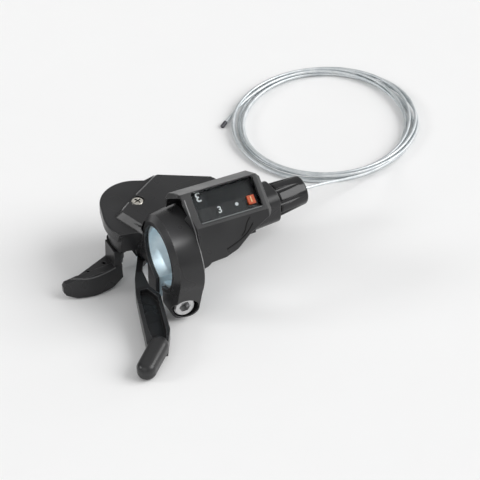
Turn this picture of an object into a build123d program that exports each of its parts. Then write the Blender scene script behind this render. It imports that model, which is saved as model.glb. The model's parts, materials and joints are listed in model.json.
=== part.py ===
# Trigger gear shifter for a 22.2 mm handlebar, lying on a table with its inner cable coiled beside it.
# Millimetres. Origin at the middle of the clamp bore, +X along the bar toward the cable exit,
# +Y toward the mechanism case, +Z up.
from build123d import *
import math
import os

os.makedirs("parts", exist_ok=True)

# General
FLOOR_Z = -24.0
RUN_FIT = 0.05
PIECE_GAP = 0.3
SEAT_FIT = 0.05
REACH = 200.0

# Clamp
BAR_R = 11.1
BAND_T = 1.0
BAND_W = 8.0
BAND_FIT = 0.1
BAR_CLEAR = 0.7
RING_X0 = -5.2
RING_X1 = 5.5
RING_NOSE_R = 13.8
RING_LEFT_R = 16.2
RING_RIGHT_R = 17.9
RING_BEVEL = 1.7
SPLIT = 3.0
BOLT_DROP = 5.7
JAW_DROP = 5.2
JAW_TAPER = 0.5
JAW_LEAN = 15.0
JAW_INSET = 0.04
LEG_EDGE = 1.0
BOLT_R = 2.5
BOLT_HEAD_R = 4.2
BOLT_HEAD_H = 4.6
BOLT_KEY_AF = 4.0
BOLT_FACE_Y = -11.7
BOLT_END_Y = 9.2
NUT_AF = 8.0
NUT_T = 3.2
BACK_JAW_EDGE = 0.4
BORE_GAP = 0.25

# Mechanism case
AXLE_X = 3.3
AXLE_Y = 23.1
CASE_R = 19.0
LID_T = 4.0
LID_EDGE = 0.6
HUMP_R = 13.1
HUMP_X = -4.0
HUMP_Y = 8.2
BOWL_STEP = 1.4
BOWL_DRAFT = 0.5
CASE_WALL = 1.1
CASE_TOP_Z = 2.5
CASE_BOTTOM_Z = -10.0
ROOF_T = 2.0
BAR_WALL = 1.2
PLATE_T = 2.0
COVER_TOP_Z = 5.0
COVER_TAPER = 42.0
COVER_CORNER = 1.6
RING_SEAM = 0.5
BAY_TOP_Z = -7.8
SHELF_T = 1.2
FLANK_Y = 13.2
FLANK_Z = 3.3
FLANK_TOP_Z = 6.5
FLANK_LEAN = 14.0
FLANK_TURN = 12.0
FLANK_WALL = 1.0

# Cable line, in the plane of the spool groove
CABLE_Z = -7.0
CABLE_R = 0.6
CABLE_TURN = 6.5
BOSS_START = 33.0
BOSS_END = 47.0
BOSS_W = 14.2
BOSS_H = 14.6
BOSS_CORNER = 5.0
KNOB_GAP = 0.6
KNOB_L = 13.0
KNOB_R_IN = 6.7
KNOB_R_OUT = 5.7
KNOB_FLUTES = 8
FLUTE_R = 1.3
STEM_R = 3.0
STEM_L = 9.0
CABLE_HOLE_START = 6.0
HOUSING_SEAT_R = 2.6
HOUSING_SEAT_L = 6.0

# Spindle and levers
SPINDLE_R = 3.0
LEVER_T = 2.2
HUB_R = 8.0
POST_R = 1.5
PAWL_ROOM = 0.7
DRIVE_ANGLE = 100.0
HOLD_ANGLE = 194.0
MAIN_STROKE = 22.0
PAWL_HUB_R = 2.1
PAWL_T = 2.0
RELEASE_ANGLE = 163.7
RELEASE_INSET = 1.4
RELEASE_HUB_R = 3.2
PEG_R = 0.8
PEG_DX = 1.7
PEG_DY = -2.8
PEG_SWEEP = 0.9
PEG_GAP = 0.5
PEG_LUG_R = 1.6

# Spool
TOOTH_ROOM = 1.4
TOOTH_DEPTH = 1.5
TOOTH_COUNT = 8
TOOTH_PITCH = 22.0
TOOTH_START = 30.0
SPOOL_HUB_R = 5.0
GROOVE_DEPTH = 1.1
NIPPLE_R = 2.0
NIPPLE_L = 4.0

# Indicator
HOUSE_X0 = RING_X1
HOUSE_X1 = 36.0
WINDOW_L = 25.2
WINDOW_W = 12.4
WINDOW_X = 20.2
WINDOW_Y = -5.65
WINDOW_Z = 22.55
WINDOW_TILT = 36.6
LENS_T = 1.4
LENS_PROUD = 0.2
POINTER_T = 0.8
POINTER_L = 2.9
POINTER_W = 3.4
POINTER_INSET = 3.0
POINTER_UP = -2.1
STRIP_H = 0.8
STRIP_W = 6.0
DIAL_T = 1.0

# Cable coil on the floor
COIL_X = 101.4
COIL_Y = 73.3
COIL_R = 34.2
COIL_W = 5.2
COIL_H = 4.0

# Places worked out from the driving dimensions
CLEAR_R = BAR_R + BAR_CLEAR
RING_IN_R = BAR_R + BAND_T + BAND_FIT
PLATE_BOTTOM_Z = CASE_BOTTOM_Z - PLATE_T
LEVER_TOP_Z = PLATE_BOTTOM_Z - PIECE_GAP
LEVER_BOTTOM_Z = LEVER_TOP_Z - LEVER_T
ROOF_Z = CASE_TOP_Z - ROOF_T
BOLT_Z = -(BAR_R + BOLT_DROP)
JAW_BOTTOM_Z = BOLT_Z - JAW_DROP
LID_BOTTOM_Z = CASE_TOP_Z - LID_T
BOWL_TOP_R = CASE_R - BOWL_STEP
BOWL_R = BOWL_TOP_R - BOWL_DRAFT
CASE_IN_R = BOWL_R - CASE_WALL
POST_ORBIT = CASE_IN_R - PAWL_HUB_R - PAWL_ROOM
TOOTH_R = POST_ORBIT - PAWL_HUB_R - TOOTH_ROOM
TOOTH_ROOT_R = TOOTH_R - TOOTH_DEPTH
FLANGE_R = TOOTH_R - PIECE_GAP
GROOVE_R = FLANGE_R - GROOVE_DEPTH
BAY_X = AXLE_X - FLANGE_R - 2 * PIECE_GAP
GROOVE_SIN = math.sin(math.radians(CABLE_TURN))
GROOVE_COS = math.cos(math.radians(CABLE_TURN))
CABLE_ORIGIN = (AXLE_X + GROOVE_R * GROOVE_SIN, AXLE_Y - GROOVE_R * GROOVE_COS, CABLE_Z)
CABLE_WAY = (GROOVE_COS, GROOVE_SIN, 0)
CABLE_PLANE = Plane(origin=CABLE_ORIGIN, x_dir=(-GROOVE_SIN, GROOVE_COS, 0), z_dir=CABLE_WAY)
TILT_SIN = math.sin(math.radians(WINDOW_TILT))
TILT_COS = math.cos(math.radians(WINDOW_TILT))
WINDOW_PLANE = Plane(origin=(WINDOW_X, WINDOW_Y, WINDOW_Z), x_dir=(1, 0, 0), z_dir=(0, -TILT_SIN, TILT_COS))


def slab(points, z0, z1):
    """A flat piece with a plan outline, between two heights."""
    return extrude(Plane.XY.offset(z0) * Polygon(*points, align=None), z1 - z0, dir=(0, 0, 1))


def bar_slab(points, x0, x1):
    """A piece with an outline across the bar, between two places along it."""
    return extrude(Plane.YZ.offset(x0) * Polygon(*points, align=None), x1 - x0, dir=(1, 0, 0))


def front_slab(points, y0, y1):
    """A piece with an (x, z) outline seen from the front, between two depths."""
    return extrude(Plane.XZ.offset(-y0) * Polygon(*points, align=None), y1 - y0, dir=(0, 1, 0))


def upright(x, y, r, z0, z1):
    return Pos(x, y, (z0 + z1) / 2) * Cylinder(r, z1 - z0)


def bar_rod(r, x0, x1):
    return Pos((x0 + x1) / 2, 0, 0) * Rot(0, 90, 0) * Cylinder(r, x1 - x0)


def cross_rod(x, z, r, y0, y1):
    return Pos(x, (y0 + y1) / 2, z) * Rot(90, 0, 0) * Cylinder(r, y1 - y0)


def about_axle(r, degrees):
    a = math.radians(degrees)
    return (AXLE_X + r * math.cos(a), AXLE_Y + r * math.sin(a))


def bar_turned(points):
    """A ring about the bar from an (x, radius) outline."""
    return revolve(Plane.XZ * Polygon(*points, align=None), Axis.X)


def save(name, piece):
    export_step(piece, "parts/" + name + ".step")


RING_MID_X = (RING_X0 + RING_X1) / 2
LEG_Y = SPLIT / 2 + BAND_T
JAW_Y = LEG_Y + BAND_FIT
JAW_W = RING_X1 - RING_X0
JAW_LEFT_R = 3.2
JAW_RIGHT_R = 4.6
BOLT_SEAT_Y = BOLT_FACE_Y + BOLT_HEAD_H
NUT_Y = BOLT_END_Y - NUT_T
COVER_SCREW = (-0.6, 28.6)
COVER_SCREW_HEAD_R = 2.4
COVER_SCREW_HEAD_H = 1.7
COVER_SCREW_R = 1.2
COVER_SLOT = (-6.4, 15.2)
COVER_SLOT_TURN = -62.0
COVER_SLOT_L = 5.6
COVER_SLOT_W = 1.4
COVER_SLOT_DEEP = 1.0

# Plan outlines of the case block under the cover, and of the cover itself
BLOCK_BACK = (12.4, 42.6)
BLOCK_RIGHT = (32.4, 31.6)
BLOCK_END_X = 34.0
BLOCK_END_Y = 27.6
BLOCK_FRONT_Y = 11.0
CABLE_ARM = [(30.0, 12.0), (41.0, 12.6), (41.0, 25.6), (30.0, 29.0)]
CABLE_ARM_LOW = 6.2
CABLE_ARM_HIGH = 7.2
BAY_Y = AXLE_Y + 7.9
BAY_PLAN = [(BAY_X, -REACH), (BAY_X, BAY_Y), (-REACH, BAY_Y), (-REACH, -REACH)]
COVER_OUTLINE = [
    (12.2, 42.4), (32.2, 31.4), (33.8, 27.6), (33.8, 11.2), (-6.0, 11.2), (-11.4, 26.0),
]


def ring_outline(grow, inner=RING_IN_R):
    return [
        (RING_X0 - grow, inner),
        (RING_X0 - grow, RING_NOSE_R + grow),
        (RING_X0 + RING_BEVEL - grow, RING_LEFT_R + grow),
        (RING_X1 + grow, RING_RIGHT_R + grow),
        (RING_X1 + grow, inner),
    ]


def front_jaw():
    """The jaw that the bolt head sits in: the ring's own section run straight on, rounded about the bolt."""
    lean = math.radians(JAW_LEAN)
    down = (0, math.sin(lean), -math.cos(lean))
    start = Plane(origin=(0, 0, 0), x_dir=(1, 0, 0), z_dir=down)
    run = start * Polygon(*ring_outline(-JAW_INSET, BAR_R), align=None)
    side = extrude(run, RING_RIGHT_R - JAW_BOTTOM_Z, dir=down)
    side += bar_slab([
        (-RING_IN_R, -5.0), (BOLT_FACE_Y + 1.4, BOLT_Z), (BOLT_FACE_Y + 2.6, JAW_BOTTOM_Z),
        (-JAW_Y, JAW_BOTTOM_Z), (-JAW_Y, -10.0),
    ], RING_X0, RING_X1)
    left = RING_X0 + JAW_TAPER
    right = RING_X1 - JAW_TAPER
    front = Polygon((RING_X0, 2.0), (left, JAW_BOTTOM_Z), (right, JAW_BOTTOM_Z), (RING_X1, 2.0), align=None)
    corners = front.vertices().sort_by(Axis.Y)[:2].sort_by(Axis.X)
    front = fillet(corners[0], JAW_LEFT_R)
    front = fillet(front.vertices().sort_by(Axis.Y)[:3].sort_by(Axis.X)[-1], JAW_RIGHT_R)
    return side & extrude(Plane.XZ * front, REACH)


def back_jaw():
    """The jaw that holds the nut, under the case."""
    low = BOLT_Z - NUT_AF / 2 - BACK_JAW_EDGE
    return bar_slab([
        (JAW_Y, -9.0), (JAW_Y, low + 1.6), (JAW_Y + 1.6, low), (7.6, low), (BOLT_END_Y, low + 1.6),
        (9.8, -10.0),
    ], RING_X0, RING_X1)


def nut_hex(grow, y0, y1):
    hexagon = RegularPolygon((NUT_AF + grow) / 2, 6, major_radius=False)
    return Pos(RING_MID_X, y1, BOLT_Z) * Rot(90, 0, 0) * extrude(hexagon, y1 - y0)


def flank_cut(grow, x1):
    """Space beside the ring's flank, left of it and in front of the case."""
    low = LEVER_BOTTOM_Z
    lean = math.tan(math.radians(FLANK_LEAN))
    front = FLANK_Y + grow
    side = Polygon((-REACH, FLANK_TOP_Z), (front - 0.8, FLANK_TOP_Z), (front, FLANK_Z),
                   (front + lean * (FLANK_Z - low), low), (-REACH, low), align=None)
    cut = extrude(Plane.YZ.offset(RING_X0 - REACH) * side, 2 * REACH, dir=(1, 0, 0))
    cut = Pos(RING_X0, FLANK_Y) * Rot(0, 0, -FLANK_TURN) * Pos(-RING_X0, -FLANK_Y) * cut
    return cut & bar_slab([(-REACH, -REACH), (REACH, -REACH), (REACH, REACH), (-REACH, REACH)], -REACH, x1)


def case_cavity():
    """Room for the mechanism, with a shelf over the release lever's bay."""
    room = upright(AXLE_X, AXLE_Y, CASE_IN_R, CASE_BOTTOM_Z, ROOF_Z)
    room -= bar_rod(CLEAR_R + BAR_WALL, -REACH, REACH)
    room -= flank_cut(FLANK_WALL, RING_X0 + FLANK_WALL)
    shelf = slab(BAY_PLAN, BAY_TOP_Z, BAY_TOP_Z + SHELF_T)
    return room - (shelf - upright(AXLE_X, AXLE_Y, FLANGE_R + 2 * PIECE_GAP, -REACH, REACH))


def case_shell():
    """The round case: a lid disc with a hump at its back left, over a drafted bowl."""
    lid_edges = (Pos(AXLE_X, AXLE_Y) * Circle(CASE_R)).edges()
    lid_edges += (Pos(AXLE_X + HUMP_X, AXLE_Y + HUMP_Y) * Circle(HUMP_R)).edges()
    lid = extrude(Plane.XY.offset(LID_BOTTOM_Z) * make_hull(lid_edges), LID_T, dir=(0, 0, 1))
    lid = fillet(lid.edges().group_by(Axis.Z)[-1], LID_EDGE)
    bowl_h = LID_BOTTOM_Z - CASE_BOTTOM_Z
    bowl = Pos(AXLE_X, AXLE_Y, CASE_BOTTOM_Z + bowl_h / 2) * Cone(BOWL_R, BOWL_TOP_R, bowl_h)
    block = slab([(AXLE_X, BLOCK_FRONT_Y), (BLOCK_END_X, BLOCK_FRONT_Y), (BLOCK_END_X, BLOCK_END_Y),
                  BLOCK_RIGHT, BLOCK_BACK, (AXLE_X, AXLE_Y + BOWL_R)], CASE_BOTTOM_Z, CASE_TOP_Z)
    return lid + bowl + block


def clamp_body():
    """Ring, jaws, case, cable arm and boss: one moulding."""
    arm = slab(CABLE_ARM, CABLE_Z - CABLE_ARM_LOW, CABLE_Z + CABLE_ARM_HIGH)
    boss = extrude(CABLE_PLANE * Pos(0, 0, BOSS_START) * RectangleRounded(BOSS_W, BOSS_H, BOSS_CORNER),
                   BOSS_END - BOSS_START)
    body = bar_turned(ring_outline(0)) + case_shell() + arm + boss + front_jaw() + back_jaw()
    body -= flank_cut(0, RING_X0)
    body -= case_cavity()
    body -= slab(BAY_PLAN, -REACH, BAY_TOP_Z)
    body += upright(RELEASE_X, RELEASE_Y, PIN_BOSS_R, BAY_TOP_Z, PIN_BOSS_TOP_Z)
    body -= upright(RELEASE_X, RELEASE_Y, PIN_R, -REACH, PIN_BOSS_TOP_Z)
    body -= upright(*HOLD_PIN, PIN_R, -REACH, ROOF_Z + ROOF_T / 2)
    body -= Pos(*PEG_SLOT, BAY_TOP_Z) * Box(PEG_SLOT_L, PEG_SLOT_W, 4 * SHELF_T)
    for angle in BASE_SCREW_ANGLES:
        place = about_axle(BASE_SCREW_ORBIT, angle)
        body += upright(*place, BASE_SCREW_BOSS_R, CASE_BOTTOM_Z, ROOF_Z)
        body -= upright(*place, BASE_SCREW_R, CASE_BOTTOM_Z, CASE_BOTTOM_Z + BASE_SCREW_L)
    body -= bar_rod(CLEAR_R, -REACH, REACH)
    body -= bar_rod(RING_IN_R, RING_X0, RING_X1)
    body -= Pos(RING_MID_X, 0, -REACH / 2) * Box(JAW_W + 2, 2 * JAW_Y, REACH - 2 * BAR_R)
    body -= cross_rod(RING_MID_X, BOLT_Z, BOLT_R + BORE_GAP, -REACH, BOLT_END_Y + 1)
    body -= cross_rod(RING_MID_X, BOLT_Z, BOLT_HEAD_R + 2 * BORE_GAP, -REACH, BOLT_SEAT_Y)
    body -= nut_hex(BORE_GAP, NUT_Y, BOLT_END_Y + 3)
    body -= CABLE_PLANE * Pos(0, 0, (BOSS_END + CABLE_HOLE_START) / 2) * Cylinder(2 * CABLE_R,
                                                                               BOSS_END - CABLE_HOLE_START)
    body -= CABLE_PLANE * Pos(0, 0, BOSS_END - STEM_L / 2) * Cylinder(STEM_R + RUN_FIT, STEM_L + 1)
    body -= upright(AXLE_X, AXLE_Y, SPINDLE_R + SEAT_FIT, ROOF_Z - 1, ROOF_Z + ROOF_T / 2)
    body -= upright(*COVER_SCREW, COVER_SCREW_R, ROOF_Z, CASE_TOP_Z)
    return body


def clamp_band():
    band = bar_rod(BAR_R + BAND_T, RING_MID_X - BAND_W / 2, RING_MID_X + BAND_W / 2)
    band -= bar_rod(BAR_R, -REACH, REACH)
    leg_low = BOLT_Z - BOLT_R - LEG_EDGE
    leg = bar_slab([(-LEG_Y, leg_low), (LEG_Y, leg_low), (LEG_Y, -BAR_R), (-LEG_Y, -BAR_R)],
                   RING_MID_X - BAND_W / 2, RING_MID_X + BAND_W / 2)
    band += leg
    gap = SPLIT / 2
    band -= bar_slab([(-gap, -REACH), (gap, -REACH), (gap, 0), (-gap, 0)], -REACH, REACH)
    return band - cross_rod(RING_MID_X, BOLT_Z, BOLT_R + BORE_GAP, -REACH, REACH)


def clamp_bolt():
    bolt = cross_rod(RING_MID_X, BOLT_Z, BOLT_HEAD_R, BOLT_FACE_Y, BOLT_SEAT_Y)
    bolt = chamfer(bolt.edges().sort_by(Axis.Y)[0], 0.5)
    bolt += cross_rod(RING_MID_X, BOLT_Z, BOLT_R, BOLT_SEAT_Y, BOLT_END_Y)
    key = extrude(RegularPolygon(BOLT_KEY_AF / 2, 6, major_radius=False), BOLT_HEAD_H * 0.6)
    return bolt - Pos(RING_MID_X, BOLT_FACE_Y + BOLT_HEAD_H * 0.6, BOLT_Z) * Rot(90, 0, 0) * key


def clamp_nut():
    return nut_hex(0, NUT_Y, BOLT_END_Y) - cross_rod(RING_MID_X, BOLT_Z, BOLT_R + SEAT_FIT, -REACH, REACH)


def top_cover():
    """Raised cover over the case, with bevelled sides, cut to the ring and the bar."""
    outline = Polygon(*COVER_OUTLINE, align=None)
    cover = extrude(Plane.XY.offset(CASE_TOP_Z) * outline, COVER_TOP_Z - CASE_TOP_Z, dir=(0, 0, 1),
                    taper=COVER_TAPER)
    cover = fillet(cover.edges().filter_by(lambda e: abs((e % 0.5).Z) > 0.1), COVER_CORNER)
    cover -= bar_turned(ring_outline(RING_SEAM))
    cover -= bar_rod(CLEAR_R + PIECE_GAP, -REACH, REACH)
    head_low = COVER_TOP_Z - COVER_SCREW_HEAD_H
    cover -= upright(*COVER_SCREW, COVER_SCREW_HEAD_R + BORE_GAP, head_low, REACH)
    cover -= upright(*COVER_SCREW, COVER_SCREW_R + SEAT_FIT, CASE_TOP_Z, COVER_TOP_Z)
    slot = Pos(*COVER_SLOT, COVER_TOP_Z) * Rot(0, 0, COVER_SLOT_TURN) * Box(COVER_SLOT_L, COVER_SLOT_W,
                                                                          2 * COVER_SLOT_DEEP)
    return cover - slot


def cover_screw():
    top = COVER_TOP_Z - 0.2
    screw = upright(*COVER_SCREW, COVER_SCREW_HEAD_R, COVER_TOP_Z - COVER_SCREW_HEAD_H, top)
    screw = fillet(screw.edges().sort_by(Axis.Z)[-1], 0.6)
    screw += upright(*COVER_SCREW, COVER_SCREW_R, ROOF_Z + 0.2, COVER_TOP_Z - COVER_SCREW_HEAD_H)
    for turn in (20, 110):
        screw -= Pos(*COVER_SCREW, top) * Rot(0, 0, turn) * Box(3.0, 0.7, 1.8)
    return screw


# Base plate, spindle and what is stacked on it
SLOT_W = 2 * (POST_R + 0.5)
PIN_R = 1.5
SPRING_T = 0.4
SPRING_PITCH = 1.2
WASHER_R = 7.0
WASHER_T = 1.0
SPINDLE_AF = 8.0
SPINDLE_NUT_T = 3.2
LEVER_SPRING_H = 1.4
WASHER_TOP_Z = LEVER_BOTTOM_Z - LEVER_SPRING_H - 2 * PIECE_GAP
HOLD_PIN = about_axle(POST_ORBIT, HOLD_ANGLE)
DRIVE_PIN = about_axle(POST_ORBIT, DRIVE_ANGLE)
RELEASE_X, RELEASE_Y = about_axle(CASE_IN_R - RELEASE_INSET, RELEASE_ANGLE)
PEG = (RELEASE_X + PEG_DX, RELEASE_Y + PEG_DY)
PEG_SLOT = (PEG[0] - PEG_SWEEP / 2, PEG[1] - PEG_SWEEP / 4)
PEG_SLOT_L = 2 * PEG_R + PEG_SWEEP + 2 * PEG_GAP
PEG_SLOT_W = 2 * PEG_R + PEG_SWEEP / 2 + 2 * PEG_GAP
PIN_BOSS_R = PIN_R + 0.6
PIN_BOSS_TOP_Z = -4.9
PAWL_BOTTOM_Z = -4.5
PAWL_TOP_Z = PAWL_BOTTOM_Z + PAWL_T
PIN_TOP_Z = PAWL_TOP_Z + 1.6
PLATE_FRONT_Y = 9.0
BASE_SCREW_ANGLES = (14.0, 46.0, 128.0)
BASE_SCREW_R = 1.2
BASE_SCREW_L = 5.0
BASE_SCREW_BOSS_R = 2.3
BASE_SCREW_ORBIT = CASE_IN_R - 0.8
BASE_SCREW_HEAD_R = 1.9
BASE_SCREW_HEAD_H = 0.9


def base_plate():
    """Steel plate that closes the case and carries the spindle and pins."""
    plate = upright(AXLE_X, AXLE_Y, BOWL_R - PIECE_GAP, PLATE_BOTTOM_Z, CASE_BOTTOM_Z)
    plate -= slab([(x + PIECE_GAP, y + PIECE_GAP) for x, y in BAY_PLAN], -REACH, REACH)
    plate -= flank_cut(PIECE_GAP, RING_X0)
    ring_back = math.sqrt(RING_RIGHT_R**2 - CASE_BOTTOM_Z**2) + PIECE_GAP
    plate -= Pos(RING_MID_X, 0, PLATE_BOTTOM_Z) * Box(JAW_W + 2 * PIECE_GAP, 2 * ring_back, 4 * PLATE_T)
    plate -= Pos(AXLE_X, 0, PLATE_BOTTOM_Z) * Box(3 * CASE_R, 2 * PLATE_FRONT_Y, 4 * PLATE_T)
    plate -= upright(AXLE_X, AXLE_Y, SPINDLE_R, -REACH, REACH)
    arc = CenterArc((AXLE_X, AXLE_Y), POST_ORBIT, DRIVE_ANGLE - MAIN_STROKE, MAIN_STROKE)
    plate -= extrude(Plane.XY.offset(PLATE_BOTTOM_Z) * SlotArc(arc, SLOT_W), PLATE_T, dir=(0, 0, 1))
    for angle in BASE_SCREW_ANGLES:
        plate -= upright(*about_axle(BASE_SCREW_ORBIT, angle), BASE_SCREW_R + SEAT_FIT, -REACH, REACH)
    return plate


def base_screws():
    """Pan-head screws from below into the case wall."""
    group = []
    for angle in BASE_SCREW_ANGLES:
        place = about_axle(BASE_SCREW_ORBIT, angle)
        screw = upright(*place, BASE_SCREW_R, PLATE_BOTTOM_Z, CASE_BOTTOM_Z + BASE_SCREW_L)
        screw += upright(*place, BASE_SCREW_HEAD_R, PLATE_BOTTOM_Z - BASE_SCREW_HEAD_H, PLATE_BOTTOM_Z)
        group.append(screw)
    return Compound(children=group)


def spindle():
    low = WASHER_TOP_Z - WASHER_T - SPINDLE_NUT_T - 0.4
    return upright(AXLE_X, AXLE_Y, SPINDLE_R, low, ROOF_Z + ROOF_T / 2)


def spindle_washer():
    washer = upright(AXLE_X, AXLE_Y, WASHER_R, WASHER_TOP_Z - WASHER_T, WASHER_TOP_Z)
    return washer - upright(AXLE_X, AXLE_Y, SPINDLE_R + SEAT_FIT, -REACH, REACH)


def spindle_nut():
    top = WASHER_TOP_Z - WASHER_T
    hexagon = RegularPolygon(SPINDLE_AF / 2, 6, major_radius=False)
    nut = Pos(AXLE_X, AXLE_Y, top - SPINDLE_NUT_T) * extrude(hexagon, SPINDLE_NUT_T)
    return nut - upright(AXLE_X, AXLE_Y, SPINDLE_R + SEAT_FIT, -REACH, REACH)


def spiral_spring(r_in, r_out, z0, z1):
    """Flat spiral of spring strip about the spindle, with as many turns as its room takes."""
    turns = (r_out - r_in) / SPRING_PITCH
    steps = math.ceil(turns * 12)

    def edge(shift):
        points = []
        for i in range(steps + 1):
            r = r_in + (r_out - r_in) * i / steps + shift
            a = math.radians(360 * turns * i / steps)
            points.append((AXLE_X + r * math.cos(a), AXLE_Y + r * math.sin(a)))
        return points

    inner = Spline(*edge(0))
    outer = Spline(*edge(SPRING_T))
    ends = [Line(inner @ 0, outer @ 0), Line(inner @ 1, outer @ 1)]
    face = make_face([inner.edge(), outer.edge()] + [e.edge() for e in ends])
    return extrude(Plane.XY.offset(z0) * face, z1 - z0, dir=(0, 0, 1))


def spool_spring():
    return spiral_spring(SPOOL_HUB_R + PIECE_GAP, TOOTH_ROOT_R, PAWL_TOP_Z + PIECE_GAP, ROOF_Z - PIECE_GAP)


def lever_spring():
    return spiral_spring(SPINDLE_R + PIECE_GAP, WASHER_R - 2 * PIECE_GAP, WASHER_TOP_Z + PIECE_GAP,
                         WASHER_TOP_Z + PIECE_GAP + LEVER_SPRING_H)


def hairpin(x, y, z, loop_r, wire_r, legs):
    """A wound wire spring: one loop about a pin and two straight legs."""
    spring = Pos(x, y, z) * Torus(loop_r, wire_r)
    for angle, length in legs:
        leg = Pos(loop_r, length / 2, 0) * Rot(90, 0, 0) * Cylinder(wire_r, length)
        spring += Pos(x, y, z) * Rot(0, 0, angle) * leg
    return spring


def release_pin():
    spring_z = RELEASE_LOW_Z - 2 * PIECE_GAP - 2 * RELEASE_WIRE_R
    pin = upright(RELEASE_X, RELEASE_Y, PIN_R, spring_z, PIN_BOSS_TOP_Z)
    return pin + upright(RELEASE_X, RELEASE_Y, PIN_R + 1.3, spring_z - 0.8, spring_z)


def hold_pawl_pin():
    return upright(*HOLD_PIN, PIN_R, BAY_TOP_Z, ROOF_Z + ROOF_T / 2)


def pawl_hub(place):
    return upright(*place, PAWL_HUB_R, PAWL_BOTTOM_Z, PAWL_TOP_Z)


PAWL_TIP_R = TOOTH_R + 0.45


def drive_pawl():
    """Pawl on the main lever: its tip leads clockwise over the teeth."""
    tongue = slab([about_axle(POST_ORBIT + 2.2, 97), about_axle(POST_ORBIT - 0.6, 84),
                   about_axle(PAWL_TIP_R, 77), about_axle(PAWL_TIP_R, 81), about_axle(POST_ORBIT - 2.3, 98)],
                  PAWL_BOTTOM_Z, PAWL_TOP_Z)
    return pawl_hub(DRIVE_PIN) + tongue - upright(*DRIVE_PIN, POST_R + RUN_FIT, -REACH, REACH)


def drive_pawl_pin():
    """Post on the main lever that reaches up through the slot in the base plate."""
    return upright(*DRIVE_PIN, POST_R, LEVER_BOTTOM_Z, PIN_TOP_Z)


def hold_pawl():
    """Pawl that holds the spool: its tip stops the teeth, and the release lever's peg lifts its finger."""
    tongue = slab([(HOLD_PIN[0] + 2.2, HOLD_PIN[1] + 0.6), about_axle(PAWL_TIP_R, 189),
                   about_axle(PAWL_TIP_R, 184.5), (HOLD_PIN[0] - 0.6, HOLD_PIN[1] + 2.2)],
                  PAWL_BOTTOM_Z, PAWL_TOP_Z)
    finger_x = PEG[0] - PEG_R - PEG_GAP
    finger = slab([(HOLD_PIN[0] + 0.4, HOLD_PIN[1] + 2.0), (finger_x, PEG[1] - 1.6), (finger_x, PEG[1] + 1.0),
                   (finger_x - 1.2, PEG[1] + 1.0), (HOLD_PIN[0] - 2.0, HOLD_PIN[1] + 0.6)],
                  PAWL_BOTTOM_Z, PAWL_TOP_Z)
    return pawl_hub(HOLD_PIN) + tongue + finger - upright(*HOLD_PIN, PIN_R + RUN_FIT, -REACH, REACH)


def cable_spool():
    """Spool with a cable groove, ratchet teeth and a pocket for the cable's nipple."""
    floor_r = GROOVE_R - CABLE_R - 0.1
    profile = Polygon(
        (SPINDLE_R + RUN_FIT, CASE_BOTTOM_Z + PIECE_GAP), (SPOOL_HUB_R, CASE_BOTTOM_Z + PIECE_GAP),
        (SPOOL_HUB_R, CABLE_Z - 2.6), (FLANGE_R, CABLE_Z - 2.6), (FLANGE_R, CABLE_Z - 1.1),
        (floor_r, CABLE_Z - 0.7), (floor_r, CABLE_Z + 0.7), (FLANGE_R, CABLE_Z + 1.1),
        (FLANGE_R, PAWL_BOTTOM_Z - 0.2), (SPOOL_HUB_R, PAWL_BOTTOM_Z - 0.2),
        (SPOOL_HUB_R, ROOF_Z - PIECE_GAP), (SPINDLE_R + RUN_FIT, ROOF_Z - PIECE_GAP), align=None)
    spool = Pos(AXLE_X, AXLE_Y, 0) * revolve(Plane.XZ * profile, Axis.Z)
    ratchet = Pos(AXLE_X, AXLE_Y) * Circle(TOOTH_ROOT_R)
    for i in range(TOOTH_COUNT):
        a = TOOTH_START + TOOTH_PITCH * i
        ratchet += Polygon(about_axle(TOOTH_ROOT_R - 0.5, a), about_axle(TOOTH_R, a),
                           about_axle(TOOTH_R, a - 4), about_axle(TOOTH_ROOT_R - 0.1, a - 20), align=None)
    ratchet -= Pos(AXLE_X, AXLE_Y) * Circle(SPINDLE_R + RUN_FIT)
    spool += extrude(Plane.XY.offset(PAWL_BOTTOM_Z - 0.2) * ratchet, PAWL_T + 0.2, dir=(0, 0, 1))
    return spool - nipple_shape(SEAT_FIT)


NIPPLE_ANGLE = -90.0 + CABLE_TURN - 30.0
NIPPLE_ORBIT = GROOVE_R - NIPPLE_R / 2


def nipple_shape(grow):
    place = about_axle(NIPPLE_ORBIT, NIPPLE_ANGLE)
    return Pos(*place, CABLE_Z) * Rot(0, 0, NIPPLE_ANGLE) * Rot(90, 0, 0) * Cylinder(NIPPLE_R + grow,
                                                                                  NIPPLE_L + 2 * grow)


def cable_nipple():
    return nipple_shape(0)


# Levers
ARM_OUTLINE = [
    (1.5, 18.4), (-5.4, 13.6), (-7.7, 9.6), (-7.7, 2.6), (-5.9, -3.0), (-10.2, -21.0), (-14.5, -28.5),
    (-20.5, -28.0), (-21.3, -24.5), (-19.2, -17.5), (-14.5, 0.0), (-11.8, 7.0), (-8.4, 13.0), (-2.5, 24.0),
]
ARM_SIDE = [
    (24.0, LEVER_TOP_Z), (9.0, LEVER_TOP_Z), (3.0, -14.6), (-30.0, -17.4), (-30.0, -22.6), (-12.0, -21.0),
    (4.0, -17.4), (9.0, LEVER_BOTTOM_Z), (24.0, LEVER_BOTTOM_Z),
]
ARM_WELL = [
    (-9.2, 1.6), (-7.4, -3.6), (-11.7, -20.6), (-13.6, -25.0), (-18.4, -24.0), (-17.6, -17.4),
    (-13.0, 0.0), (-11.8, 2.0),
]
WELL_SIDE = [(4.0, -13.0), (-27.0, -13.0), (-27.0, -20.9), (-12.0, -19.6), (4.0, -16.2)]
PADDLE_AT = (-21.6, -30.4, -19.35)
PADDLE_TURN = 42.0
PADDLE_DIP = 9.0
PADDLE_L = 18.6
PADDLE_W = 7.4
PADDLE_H = 7.2


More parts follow.
